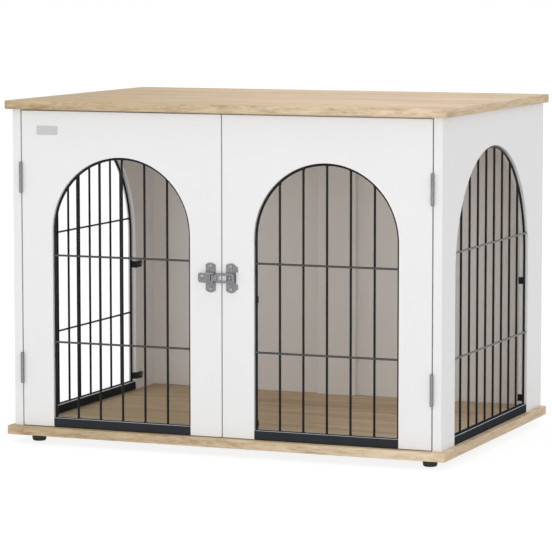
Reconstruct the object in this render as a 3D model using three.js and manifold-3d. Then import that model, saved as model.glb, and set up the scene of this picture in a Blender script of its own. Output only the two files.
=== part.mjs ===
// Dog crate end table: a white cabinet with an oak top and base, arched openings closed by
// black welded wire grilles, two hinged doors and a toggle latch. Millimetres, +Z up, front at -Y.
// The origin is on the floor, under the middle of the top.
import * as THREE from "three";
import { mergeVertices } from "three/addons/utils/BufferGeometryUtils.js";
import Module from "manifold-3d";

const wasm = await Module();
wasm.setup();

// ---------------------------------------------------------------- driving dimensions
const width = 800; // top and base, left to right
const depth = 565; // top and base, front to back
const slab = 15; // thickness of the top and of the base
const bodyHeight = 548; // from the base's upper face to the top's lower face
const footHeight = 15;
const board = 15; // thickness of the sides and doors
const sideOverhang = 10; // top past the side panels
const frontOverhang = 12; // top past the doors
const backBoard = 3; // thickness of the back panel
const backInset = 2; // its back face, in front of the base's back edge
const slabCorner = 3; // corner radius of the top and base, seen from above
const ease = 0.8; // width of the eased edges
const seat = 0.3; // gap between a piece and what it rests on

const postWidth = 75; // upright behind the back panel's middle
const postThickness = 12;

const doorMiddleGap = 2.2;
const doorBottomGap = 1.5;
const doorTopGap = 2.5;
const doorStile = 57.1; // door left and right of its arch
const doorHead = 76.5; // door above its arch
const doorBars = 5; // upright bars of a door grille
const doorCrossShares = [0.3163, 0.6358]; // its crosswires, as shares of its arch's height

const sideFrontStile = 67.5;
const sideBackStile = 81;
const sideHead = 60;
const sideBars = 8;
const sideCrossShares = [0.2967, 0.6589];

const frameWire = 2; // wire radii
const barWire = 2;
const crossWire = 1.5;
const wireClearance = 0.5; // frame wire to the edge of the arch
const wireSetback = 6; // wire centre behind the board's outer face
const weld = 0.4; // how far crossing wires sink into each other
const railHeight = 15.3; // square tube across the foot of a grille
const railDepth = 14;
const railSetback = 0.5;
const railCorner = 1.2;

const tabHeights = [26, bodyHeight * 0.43]; // fixing tabs of a grille, above the base
const tabHeight = 12;
const tabThickness = 1.5;
const tabReach = 27; // past the edge of the arch
const tabScrewInset = 8; // screw from the tab's end

const hingeHeights = [101.5, bodyHeight - 117]; // middles of the hinges, above the base
const hingeLength = 53;
const knuckleRadius = 3.2;
const knuckleGap = 0.3; // between knuckles, and from a knuckle to the boards
const hingePinRadius = 1.5;
const pinClearance = 0.25;
const hingeTipRadius = 2.3;
const hingeTipHeight = 1.4;
const leafThickness = 0.9;
const leafWidth = 13;
const leafSeat = 0.15;
const leafGap = 0.3; // between the two leaves of a closed hinge
const leafScrewSpacing = 34;

const latchDrop = 2; // middle of the latch below the doors' middle
const latchPlateWidth = 18;
const latchPlateHeight = 50.5;
const latchPlateBulge = 4; // rounding of a plate's two ends
const latchPlateThickness = 1.2;
const latchScrewSpacing = 38.6;
const basePlateInner = 11; // near edges of the two plates, from the doors' meeting line
const catchPlateInner = 8;
const leverHeight = 17;
const leverSheet = 1;
const leverTip = 39.8; // thumb end, from the meeting line
const leverEnd = 16.9; // middle of the face's end nearest to the meeting line
const leverFork = 11.9; // and the ends of its two prongs, which clear the loop's tail
const leverFace = 9.4; // outer face, from the doors
const leverFlangeStart = 29;
const leverPivot = 11.3; // pin in the base plate's ears, from the meeting line
const leverPivotStand = 4; // and from the doors
const loopPivot = 14.9; // pin that carries the loop
const loopPivotStand = 6.4;
const latchPinRadius = 1.2;
const latchPinClearance = 0.3;
const eyeWall = 0.8; // metal round the loop's eye
const earRadius = 2.2;
const earClearance = 0.4; // between the lever's flanges and the ears
const loopSheet = 1.4;
const loopEnd = 25.8; // far end of the loop, past the meeting line
const loopShoulder = 8.5; // where the loop widens, before the meeting line
const loopWindowStart = 6.5;
const loopWindowHeight = 8;
const loopCorner = 2;
const hookRadius = 2.7; // rolled hook on the catch plate
const hookPlace = 17.2;
const hookStand = 7;
const hookHeight = 6;
const hookStem = 3;
const catchEarWidth = 3.7; // thin ears along the catch plate's outer edge
const catchEarHeight = 9.5;
const catchEarThickness = 0.7;
const thumbDome = 2.6;

const footInset = 40; // middle of a foot from the side edges of the base
const footSetback = 44; // and from its front and back edges
const footRadius = 12.4;
const footFaceRadius = 9.6;
const footBore = 2.4;
const footRecessRadius = 5.4;
const footRecess = 7;

const camRadius = 7.5; // cam locks that join the sides to the top
const camThickness = 12;
const camDrop = 34; // cam centre below the top
const camBoltRadius = 2.5;
const camBoltHead = 3.2;
const camBoltBite = 10;
const fixingInset = 34; // cams and base screws from the front and back edges of the sides
const baseScrewRadius = 3;
const baseScrewLength = 45;
const baseScrewHead = 4.6;
const baseScrewHeadHeight = 3.5;
const backScrewInset = 58; // back screws from the ends of the back panel

const holeClearance = 0.3; // round a screw in its hole
const wireSides = 6;
const frameSides = 8;
const archSteps = 18; // facets of a half round

// ---------------------------------------------------------------- places that follow
const frontFace = -depth / 2 + frontOverhang; // outer face of the doors
const sideFace = width / 2 - sideOverhang; // outer face of the right side
const backFace = depth / 2 - backInset - backBoard; // front face of the back panel
const innerHalf = sideFace - board;
const baseTop = footHeight + slab;
const doorSideGap = 2 * (leafThickness + leafSeat) + leafGap;
const doorWidth = (2 * innerHalf - 2 * doorSideGap - doorMiddleGap) / 2;
const doorRadius = doorWidth / 2 - doorStile;
const doorMiddle = doorMiddleGap / 2 + doorWidth / 2; // arch centre of the right door
const sideRear = backFace - seat;
const sideRadius = (sideRear - frontFace - sideFrontStile - sideBackStile) / 2;
const sideMiddle = frontFace + sideFrontStile + sideRadius;
const hingeAxisX = innerHalf - doorSideGap / 2;
const hingeStand = knuckleRadius + knuckleGap; // hinge axis in front of the doors
const latchHeight = bodyHeight / 2 - latchDrop; // above the base
const backScrewHeights = [backScrewInset, bodyHeight - backScrewInset];
const fixingFromMiddle = [
  sideRadius + sideFrontStile - fixingInset,
  sideRadius + sideBackStile - fixingInset,
];

// ---------------------------------------------------------------- materials
const finish = (color, roughness, metalness = 0) =>
  new THREE.MeshStandardMaterial({ color, roughness, metalness });
const oak = finish(0xdcc6aa, 0.55);
const white = finish(0xeeeeec, 0.45);
const blackWire = finish(0x232427, 0.4, 0.4);
const zinc = finish(0x8d8f92, 0.35, 0.9);
const blackPlastic = finish(0x1d1d1e, 0.6);

// ---------------------------------------------------------------- solids
const UP = new THREE.Vector3(0, 1, 0);

// A closed geometry as a solid that can be joined and cut.
function solid(geometry) {
  const bare = geometry.clone();
  bare.deleteAttribute("normal");
  bare.deleteAttribute("uv");
  const merged = mergeVertices(bare, 1e-4);
  return new wasm.Manifold(
    new wasm.Mesh({
      numProp: 3,
      vertProperties: merged.attributes.position.array,
      triVerts: new Uint32Array(merged.index.array),
    }),
  );
}

function geometryOf(body) {
  const mesh = body.getMesh();
  const places = new Float32Array(mesh.numVert * 3);
  for (let i = 0; i < mesh.numVert; i++) {
    const start = i * mesh.numProp;
    places.set(mesh.vertProperties.subarray(start, start + 3), i * 3);
  }
  const geometry = new THREE.BufferGeometry();
  geometry.setAttribute("position", new THREE.BufferAttribute(places, 3));
  geometry.setIndex(new THREE.BufferAttribute(mesh.triVerts, 1));
  return geometry.toNonIndexed();
}

const join = (...bodies) => bodies.reduce((whole, body) => whole.add(body));
const cut = (body, ...tools) => tools.reduce((rest, tool) => rest.subtract(tool), body);

function block([x0, x1], [y0, y1], [z0, z1]) {
  const geometry = new THREE.BoxGeometry(x1 - x0, y1 - y0, z1 - z0);
  return solid(geometry.translate((x0 + x1) / 2, (y0 + y1) / 2, (z0 + z1) / 2));
}

// A round rod between two points.
function rod(start, end, radius, sides) {
  const from = new THREE.Vector3(...start);
  const to = new THREE.Vector3(...end);
  const along = to.clone().sub(from);
  const geometry = new THREE.CylinderGeometry(radius, radius, along.length(), sides);
  const turn = new THREE.Quaternion().setFromUnitVectors(UP, along.clone().normalize());
  geometry.applyQuaternion(turn);
  const middle = from.add(to).multiplyScalar(0.5);
  return solid(geometry.translate(middle.x, middle.y, middle.z));
}

// A shape drawn in X and Y and raised along Z, with eased edges on both faces.
function raised(shape, [low, high], eased = 0, curveSegments = 6) {
  return new THREE.ExtrudeGeometry(shape, {
    depth: high - low - 2 * eased,
    bevelEnabled: eased > 0,
    bevelThickness: eased,
    bevelSize: eased,
    bevelOffset: -eased,
    bevelSegments: 1,
    curveSegments,
  }).translate(0, 0, low + eased);
}

// The same with the shape drawn in X and Z, standing between two depths in Y.
const standing = (shape, [front, back], eased = 0, curveSegments = 6) =>
  raised(shape, [-back, -front], eased, curveSegments).rotateX(Math.PI / 2);

// The same with the shape drawn in Y and Z, between two places in X.
const lengthways = (shape, span, eased = 0, curveSegments = 6) =>
  raised(shape, span, eased, curveSegments).applyMatrix4(
    new THREE.Matrix4().makeBasis(
      new THREE.Vector3(0, 1, 0),
      new THREE.Vector3(0, 0, 1),
      new THREE.Vector3(1, 0, 0),
    ),
  );

function roundedRectangle([x0, x1], [y0, y1], corner) {
  const shape = new THREE.Shape();
  shape.absarc(x1 - corner, y0 + corner, corner, -Math.PI / 2, 0);
  shape.absarc(x1 - corner, y1 - corner, corner, 0, Math.PI / 2);
  shape.absarc(x0 + corner, y1 - corner, corner, Math.PI / 2, Math.PI);
  shape.absarc(x0 + corner, y0 + corner, corner, Math.PI, 1.5 * Math.PI);
  return shape;
}

// A screw along +Z, with its head's underside at the origin and a domed head above it.
function screw({ head, height, shank, length, sides = 6 }) {
  const profile = [
    [0, -length],
    [shank, -length + 2 * shank],
    [shank, 0],
    [head, 0],
    [head, height * 0.4],
    [head * 0.6, height],
    [0, height],
  ].map(([r, z]) => new THREE.Vector2(r, z));
  return new THREE.LatheGeometry(profile, sides).rotateX(Math.PI / 2);
}
const tabScrew = { head: 3, height: 1.8, shank: 1.5, length: 11 };
const latchScrew = { head: 3.1, height: 1.9, shank: 1.4, length: 12, sides: 10 };
const footScrew = { head: 4.2, height: 2.4, shank: 1.9, length: 18 };
const backScrew = { head: 3.4, height: 1.6, shank: 1.6, length: 20 };
const leafScrew = { shank: 1.3, length: 10 };

function piece(name, shape, material, place = [0, 0, 0], turn = [0, 0, 0]) {
  const geometry = shape.isBufferGeometry ? shape : geometryOf(shape);
  const mesh = new THREE.Mesh(geometry, material);
  mesh.name = name;
  mesh.position.set(...place);
  mesh.rotation.set(...turn);
  return mesh;
}

function group(children, place = [0, 0, 0], turn = [0, 0, 0]) {
  const made = new THREE.Group();
  made.position.set(...place);
  made.rotation.set(...turn);
  made.add(...children);
  return made;
}

// ---------------------------------------------------------------- arched bays
// A bay is a board with an arched opening and the grille in it. Its own frame has X along the
// board from the middle of the arch, Y inwards from the outer face, and Z up from the base.
const doorBay = {
  left: doorWidth / 2,
  right: doorWidth / 2,
  bottom: doorBottomGap,
  top: bodyHeight - doorTopGap,
  radius: doorRadius,
  spring: bodyHeight - doorTopGap - doorHead - doorRadius,
  bars: doorBars,
  crossShares: doorCrossShares,
};
const sideBay = {
  front: sideRadius + sideFrontStile,
  back: sideRadius + sideBackStile,
  bottom: seat,
  top: bodyHeight - seat,
  radius: sideRadius,
  spring: bodyHeight - seat - sideHead - sideRadius,
  bars: sideBars,
  crossShares: sideCrossShares,
};

// Half the width of an arch of this radius at a height.
const reachAt = (radius, spring, height) =>
  height <= spring ? radius : Math.sqrt(Math.max(0, radius ** 2 - (height - spring) ** 2));

function archedBoard({ left, right, bottom, top, radius, spring }) {
  const shape = new THREE.Shape();
  shape.moveTo(-left, bottom);
  shape.lineTo(-radius, bottom);
  shape.lineTo(-radius, spring);
  shape.absarc(0, spring, radius, Math.PI, 0, true);
  shape.lineTo(radius, bottom);
  shape.lineTo(right, bottom);
  shape.lineTo(right, top);
  shape.lineTo(-left, top);
  return standing(shape, [0, board], ease, archSteps);
}

// The frame wire's middle line: up one leg, round the arch and down the other leg.
class ArchLine extends THREE.Curve {
  constructor(radius, foot, spring, setback) {
    super();
    Object.assign(this, { radius, foot, spring, setback });
  }

  stations() {
    return archSteps + 2;
  }

  getPoint(t, target = new THREE.Vector3()) {
    const station = t * this.stations();
    if (station < 1) {
      const height = this.foot + (this.spring - this.foot) * station;
      return target.set(-this.radius, this.setback, height);
    }
    if (station > archSteps + 1) {
      const left = this.stations() - station;
      const height = this.foot + (this.spring - this.foot) * left;
      return target.set(this.radius, this.setback, height);
    }
    const angle = Math.PI * (1 - (station - 1) / archSteps);
    const height = this.spring + this.radius * Math.sin(angle);
    return target.set(this.radius * Math.cos(angle), this.setback, height);
  }

  // Stations are placed by hand, so the curve isn't measured by its length.
  getPointAt(t, target) {
    return this.getPoint(t, target);
  }

  getTangentAt(t, target = new THREE.Vector3()) {
    const station = t * this.stations();
    const turned = THREE.MathUtils.clamp((station - 1) / archSteps, 0, 1);
    const angle = Math.PI * (1 - turned);
    return target.set(Math.sin(angle), 0, -Math.cos(angle));
  }
}

function frameWireSolid(radius, foot, spring) {
  const section = new THREE.Shape();
  section.absarc(0, 0, frameWire, 0, 2 * Math.PI);
  const line = new ArchLine(radius, foot, spring, wireSetback);
  const geometry = new THREE.ExtrudeGeometry(section, {
    steps: line.stations(),
    extrudePath: line,
    curveSegments: frameSides,
    bevelEnabled: false,
  });
  return solid(geometry);
}

// A fixing tab: one leg runs inwards along the edge of the arch, the other lies on the inner face.
function tabSolid(bay, height, side) {
  const edge = reachAt(bay.radius, bay.spring, height + tabHeight / 2);
  const legOuter = edge - seat;
  const legInner = legOuter - tabThickness;
  const flat = [board + seat, board + seat + tabThickness];
  const span = (a, b) => [side * a, side * b].sort((p, q) => p - q);
  const tip = edge + tabReach;
  const round = tabHeight / 2;
  const outline = new THREE.Shape();
  const start = side > 0 ? -Math.PI / 2 : Math.PI / 2;
  outline.moveTo(side * legInner, height - side * round);
  outline.absarc(side * (tip - round), height, round, start, start + Math.PI);
  outline.lineTo(side * legInner, height + side * round);
  const strip = solid(standing(outline, flat, 0, 4));
  const leg = block(
    span(legInner, legOuter),
    [wireSetback, flat[1]],
    [height - round, height + round],
  );
  const driven = screw(tabScrew).rotateX(-Math.PI / 2);
  driven.translate(side * (tip - tabScrewInset), flat[1], height);
  return join(strip, leg, solid(driven));
}

// The four holes for the grille's screws, in the board's inner face.
function tabHoles(bay) {
  return [-1, 1].flatMap((side) =>
    tabHeights.map((height) => {
      const edge = reachAt(bay.radius, bay.spring, height + tabHeight / 2);
      const x = side * (edge + tabReach - tabScrewInset);
      const end = board + tabThickness + seat - tabScrew.length - holeClearance;
      const radius = tabScrew.shank + holeClearance;
      return rod([x, end, height], [x, board + 1, height], radius, wireSides);
    }),
  );
}

function grille(bay) {
  const wireRadius = bay.radius - wireClearance - frameWire;
  const railTop = bay.bottom + railHeight;
  const inRail = railTop - railHeight / 2;
  const section = roundedRectangle(
    [railSetback, railSetback + railDepth],
    [bay.bottom, railTop],
    railCorner,
  );
  const railReach = bay.radius - wireClearance;
  const parts = [solid(lengthways(section, [-railReach, railReach], 0, 2))];
  parts.push(frameWireSolid(wireRadius, inRail, bay.spring));
  const spacing = (2 * wireRadius) / (bay.bars + 1);
  for (let i = 1; i <= bay.bars; i++) {
    const x = -wireRadius + i * spacing;
    const top = bay.spring + Math.sqrt(wireRadius ** 2 - x ** 2);
    parts.push(rod([x, wireSetback, inRail], [x, wireSetback, top], barWire, wireSides));
  }
  const crossDepth = wireSetback - barWire - crossWire + weld;
  for (const share of bay.crossShares) {
    const height = share * (bay.spring + bay.radius);
    const reach = reachAt(wireRadius, bay.spring, height);
    const ends = [-reach, reach].map((x) => [x, crossDepth, height]);
    parts.push(rod(...ends, crossWire, wireSides));
  }
  for (const height of tabHeights) {
    parts.push(tabSolid(bay, height, -1), tabSolid(bay, height, 1));
  }
  return join(...parts);
}

// ---------------------------------------------------------------- top, base and feet
const slabSpan = [
  [-width / 2, width / 2],
  [-depth / 2, depth / 2],
];
const slabSolid = ([low, high]) =>
  solid(raised(roundedRectangle(...slabSpan, slabCorner), [low, high], ease, 3));

// The middles of the four stiles that carry a cam above and a screw below.
const fixingX = sideFace - board / 2;
const fixings = [-1, 1].flatMap((side) => [
  { name: side < 0 ? "left_front" : "right_front", x: side * fixingX, y: sideMiddle - fixingFromMiddle[0] },
  { name: side < 0 ? "left_back" : "right_back", x: side * fixingX, y: sideMiddle + fixingFromMiddle[1] },
]);
const footPlaces = [-1, 1].flatMap((side) => [
  { name: side < 0 ? "left_front" : "right_front", x: side * (width / 2 - footInset), y: footSetback - depth / 2 },
  { name: side < 0 ? "left_back" : "right_back", x: side * (width / 2 - footInset), y: depth / 2 - footSetback },
]);

function topPanel() {
  const holes = fixings.map(({ x, y }) =>
    rod([x, y, -1], [x, y, camBoltBite + holeClearance], camBoltRadius + holeClearance, 8),
  );
  return piece("top_panel", cut(slabSolid([0, slab]), ...holes), oak, [0, 0, baseTop + bodyHeight]);
}

function basePanel() {
  const through = fixings.flatMap(({ x, y }) => [
    rod([x, y, -1], [x, y, slab + 1], baseScrewRadius + holeClearance, 8),
    rod([x, y, -1], [x, y, baseScrewHeadHeight + holeClearance], baseScrewHead + holeClearance, 8),
  ]);
  const bite = footScrew.length - (footHeight - footRecess);
  const pilots = footPlaces.map(({ x, y }) =>
    rod([x, y, -1], [x, y, bite + holeClearance], footScrew.shank + holeClearance, 8),
  );
  const holed = cut(slabSolid([0, slab]), ...through, ...pilots);
  return piece("base_panel", holed, oak, [0, 0, footHeight]);
}

function foot({ name, x, y }) {
  const profile = [
    [footBore, footHeight - seat],
    [footBore, footRecess],
    [footRecessRadius, footRecess],
    [footRecessRadius, 0],
    [footFaceRadius, 0],
    [footFaceRadius + 1.3, 0.7],
    [footRadius - 0.7, 2.6],
    [footRadius, 6],
    [footRadius, footHeight - seat],
    [footBore, footHeight - seat],
  ].map(([r, z]) => new THREE.Vector2(r, z));
  const body = new THREE.LatheGeometry(profile, 12).rotateX(Math.PI / 2);
  const driven = screw(footScrew);
  return group(
    [
      piece(`foot_${name}`, body, blackPlastic),
      piece(`foot_screw_${name}`, driven, zinc, [0, 0, footRecess - seat], [Math.PI, 0, 0]),
    ],
    [x, y, 0],
  );
}

// ---------------------------------------------------------------- sides, back and their fixings
// frontward is -1 where the bay's X runs to the back, and 1 where it runs to the front.
function sideHoles(frontward) {
  const tools = tabHoles(sideBay);
  const leafMiddle = sideBay.front - leafWidth / 2;
  for (const height of hingeHeights) {
    for (const end of [-1, 1]) {
      const z = height + (end * leafScrewSpacing) / 2;
      const x = frontward * leafMiddle;
      const deep = board - leafScrew.length - holeClearance;
      tools.push(rod([x, deep, z], [x, board + 1, z], leafScrew.shank + holeClearance, wireSides));
    }
  }
  const camHeight = bodyHeight - camDrop;
  const screwTop = baseScrewLength - slab + 2 * holeClearance;
  const places = [frontward * fixingFromMiddle[0], -frontward * fixingFromMiddle[1]];
  for (const x of places) {
    const middle = board / 2;
    tools.push(
      rod([x, board - camThickness - 2 * seat, camHeight], [x, board + 1, camHeight], camRadius + seat, 16),
      rod([x, middle, camHeight], [x, middle, bodyHeight + 1], camBoltHead + holeClearance, 8),
      rod([x, middle, -1], [x, middle, screwTop], baseScrewRadius + holeClearance, 8),
    );
  }
  const rear = -frontward * sideBay.back;
  for (const height of backScrewHeights) {
    const deep = rear + frontward * (backScrew.length - backBoard + holeClearance);
    const ends = [deep, rear - frontward].map((x) => [x, board / 2, height]);
    tools.push(rod(...ends, backScrew.shank + holeClearance, wireSides));
  }
  return tools;
}

function camLock(name, x) {
  const height = bodyHeight - camDrop;
  const inner = board - seat;
  const disc = rod([x, inner - camThickness, height], [x, inner, height], camRadius, 14);
  const throat = rod(
    [x, board / 2, height - 1.2 * camBoltHead],
    [x, board / 2, height + 2 * camRadius],
    camBoltHead + 2 * holeClearance,
    8,
  );
  return piece(`cam_lock_${name}`, cut(disc, throat), zinc);
}

function camBolt(name, x) {
  const head = 2.6;
  const neck = 1.7;
  const collar = 1;
  const profile = [
    [0, -head / 2],
    [camBoltHead - 0.6, -head / 2],
    [camBoltHead, 0],
    [neck, head],
    [neck, camDrop - 5],
    [camBoltRadius, camDrop - 4],
    [camBoltRadius, camDrop - seat - collar],
    [camBoltHead, camDrop - seat - collar],
    [camBoltHead, camDrop - seat],
    [camBoltRadius, camDrop - seat],
    [camBoltRadius, camDrop + camBoltBite - 1],
    [0, camDrop + camBoltBite],
  ].map(([r, z]) => new THREE.Vector2(r, z));
  const body = new THREE.LatheGeometry(profile, 8).rotateX(Math.PI / 2);
  return piece(`cam_bolt_${name}`, body, zinc, [x, board / 2, bodyHeight - camDrop]);
}

function baseScrew(name, x) {
  const recess = seat;
  const tip = -slab + baseScrewLength;
  const profile = [
    [0, recess - slab],
    [baseScrewHead, recess - slab],
    [baseScrewHead, baseScrewHeadHeight - slab],
    [baseScrewRadius, baseScrewHeadHeight - slab],
    [baseScrewRadius, tip - 4],
    [0.8, tip],
    [0, tip],
  ].map(([r, z]) => new THREE.Vector2(r, z));
  const body = new THREE.LatheGeometry(profile, 8).rotateX(Math.PI / 2);
  return piece(`base_screw_${name}`, body, zinc, [x, board / 2, 0]);
}

function side(name, sign) {
  const frontward = -sign;
  const { front, back } = sideBay;
  const reach = frontward < 0 ? { left: front, right: back } : { left: back, right: front };
  const panel = cut(solid(archedBoard({ ...sideBay, ...reach })), ...sideHoles(frontward));
  const frontX = frontward * fixingFromMiddle[0];
  const backX = -frontward * fixingFromMiddle[1];
  return group(
    [
      piece(`${name}_side_panel`, panel, white),
      piece(`${name}_side_grille`, grille(sideBay), blackWire),
      camLock(`${name}_front`, frontX),
      camLock(`${name}_back`, backX),
      camBolt(`${name}_front`, frontX),
      camBolt(`${name}_back`, backX),
      baseScrew(`${name}_front`, frontX),
      baseScrew(`${name}_back`, backX),
    ],
    [sign * sideFace, sideMiddle, baseTop],
    [0, 0, (sign * Math.PI) / 2],
  );
}

function back() {
  const panelX = sideFace - board / 2;
  const low = seat;
  const high = bodyHeight - seat;
  const screwX = [-panelX, 0, panelX];
  const radius = backScrew.shank + holeClearance;
  const rear = backBoard;
  const holes = screwX.flatMap((x) =>
    backScrewHeights.map((z) => rod([x, -postThickness, z], [x, rear + 1, z], radius, wireSides)),
  );
  const shape = roundedRectangle([-sideFace, sideFace], [low, high], 1);
  const postShape = roundedRectangle([-postWidth / 2, postWidth / 2], [low, high], 1);
  const post = solid(standing(postShape, [-seat - postThickness, -seat], ease, 2));
  const names = ["left", "middle", "right"];
  const screws = screwX.flatMap((x, i) =>
    backScrewHeights.map((z, j) => {
      const label = `back_screw_${names[i]}_${j ? "upper" : "lower"}`;
      const short = { ...backScrew, length: i === 1 ? backBoard + postThickness - 1 : backScrew.length };
      return piece(label, screw(short), zinc, [x, rear + seat, z], [-Math.PI / 2, 0, 0]);
    }),
  );
  return group(
    [
      piece("back_panel", cut(solid(standing(shape, [0, rear], 0, 2)), ...holes), white),
      piece("back_post", cut(post, ...holes), white),
      ...screws,
    ],
    [0, backFace, baseTop],
  );
}

// ---------------------------------------------------------------- doors
const plateMiddle = (inner) => inner + latchPlateWidth / 2;

function doorHoles(sign) {
  const tools = tabHoles(doorBay);
  const edge = sign * (doorWidth / 2);
  const y = leafWidth / 2;
  for (const height of hingeHeights) {
    for (const end of [-1, 1]) {
      const z = height + (end * leafScrewSpacing) / 2;
      const deep = edge - sign * (leafScrew.length + holeClearance);
      tools.push(rod([deep, y, z], [edge + sign, y, z], leafScrew.shank + holeClearance, wireSides));
    }
  }
  const x = sign * plateMiddle(sign < 0 ? basePlateInner : catchPlateInner) - sign * doorMiddle;
  for (const end of [-1, 1]) {
    const z = latchHeight + (end * latchScrewSpacing) / 2;
    const radius = latchScrew.shank + holeClearance;
    tools.push(rod([x, -1, z], [x, latchScrew.length, z], radius, wireSides));
  }
  return tools;
}

const door = (name, sign) =>
  group(
    [
      piece(`${name}_door_panel`, cut(solid(archedBoard(doorBay)), ...doorHoles(sign)), white),
      piece(`${name}_door_grille`, grille(doorBay), blackWire),
    ],
    [sign * doorMiddle, frontFace, baseTop],
  );

// ---------------------------------------------------------------- hinges
// A hinge's own frame has its axis along Z, X towards the side panel and Y inwards.
function hingeLeaf(sign, onCabinet) {
  const away = onCabinet ? sign : -sign;
  const near = leafGap / 2;
  const sheet = [away * near, away * (near + leafThickness)].sort((a, b) => a - b);
  const half = hingeLength / 2;
  const third = hingeLength / 3;
  const spans = onCabinet
    ? [
        [-half, -third / 2 - knuckleGap / 2],
        [third / 2 + knuckleGap / 2, half],
      ]
    : [[-third / 2 + knuckleGap / 2, third / 2 - knuckleGap / 2]];
  const leafFront = hingeStand;
  const plate = block(sheet, [leafFront, leafFront + leafWidth], [-half, half]);
  const knuckles = spans.flatMap(([low, high]) => [
    rod([0, 0, low], [0, 0, high], knuckleRadius, 12),
    block(sheet, [knuckleRadius - 1.2, leafFront + 0.2], [low, high]),
  ]);
  const shanks = [-1, 1].map((end) => {
    const z = (end * leafScrewSpacing) / 2;
    const y = leafFront + leafWidth / 2;
    const from = away * (near + leafThickness / 2);
    const to = away * (near + leafThickness + leafSeat + leafScrew.length);
    return rod([from, y, z], [to, y, z], leafScrew.shank, wireSides);
  });
  const bore = rod([0, 0, -half - 1], [0, 0, half + 1], hingePinRadius + pinClearance, 8);
  return cut(join(plate, ...knuckles, ...shanks), bore);
}

function hingePin() {
  const end = hingeLength / 2;
  const tip = end + seat;
  const crown = tip + hingeTipHeight;
  const half = [
    [hingePinRadius, tip],
    [hingeTipRadius, tip],
    [hingeTipRadius, tip + hingeTipHeight / 2],
    [hingeTipRadius * 0.6, crown],
    [0, crown],
  ];
  const lower = half.map(([r, z]) => [r, -z]).reverse();
  const profile = [...lower, ...half].map(([r, z]) => new THREE.Vector2(r, z));
  return new THREE.LatheGeometry(profile, 8).rotateX(Math.PI / 2);
}

function hinge(name, sign, height) {
  return group(
    [
      piece(`${name}_cabinet_leaf`, hingeLeaf(sign, true), zinc),
      piece(`${name}_door_leaf`, hingeLeaf(sign, false), zinc),
      piece(`${name}_pin`, hingePin(), zinc),
    ],
    [sign * hingeAxisX, frontFace - hingeStand, baseTop + height],
  );
}

// ---------------------------------------------------------------- latch
// The latch's own frame has X along the doors from their meeting line, Y inwards from their
// outer face and Z up from the latch's middle, so a stand-off from the doors is a negative Y.
const plateStand = seat;
const plateFace = plateStand + latchPlateThickness;

// A plate with two rounded ends.
function lobedPlate(x0, x1) {
  const half = latchPlateHeight / 2;
  const reach = (x1 - x0) / 2;
  const round = (reach ** 2 + latchPlateBulge ** 2) / (2 * latchPlateBulge);
  const middle = (x0 + x1) / 2;
  const angle = Math.asin((round - latchPlateBulge) / round);
  const shape = new THREE.Shape();
  shape.absarc(middle, half - round, round, angle, Math.PI - angle);
  shape.absarc(middle, round - half, round, Math.PI + angle, 2 * Math.PI - angle);
  return solid(standing(shape, [-plateFace, -plateStand]));
}

const screwHoles = (x) =>
  [-1, 1].map((end) => {
    const z = (end * latchScrewSpacing) / 2;
    return rod([x, -plateFace - 1, z], [x, 1, z], latchScrew.shank + holeClearance, 8);
  });

const latchScrews = (name, x) =>
  [-1, 1].map((end) => {
    const z = (end * latchScrewSpacing) / 2;
    const label = `${name}_screw_${end < 0 ? "lower" : "upper"}`;
    const place = [x, -plateFace - seat / 3, z];
    return piece(label, screw(latchScrew), zinc, place, [Math.PI / 2, 0, 0]);
  });

const flangeInner = leverHeight / 2 - leverSheet;
const earOuter = flangeInner - earClearance;
const eyeRadius = latchPinRadius + latchPinClearance + eyeWall;
const tailHalf = earOuter - leverSheet - earClearance;

// The base plate has two ears bent up, which hold the lever's pin.
function latchBase() {
  const x = -plateMiddle(basePlateInner);
  const plate = lobedPlate(-basePlateInner - latchPlateWidth, -basePlateInner);
  const outline = new THREE.Shape();
  outline.moveTo(-leverPivot - 5, -plateFace + 0.2);
  outline.absarc(-leverPivot, -leverPivotStand, earRadius, 1.1 * Math.PI, 2.2 * Math.PI);
  outline.lineTo(-basePlateInner - 0.4, -plateFace + 0.2);
  const ears = [-1, 1].map((end) => {
    const span = [end * earOuter, end * (earOuter - leverSheet)].sort((a, b) => a - b);
    return solid(raised(outline, span));
  });
  const bore = latchPinRadius + latchPinClearance;
  const line = [-1, 1].map((end) => [-leverPivot, -leverPivotStand, end * leverHeight]);
  return cut(join(plate, ...ears), rod(...line, bore, 8), ...screwHoles(x));
}

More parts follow.
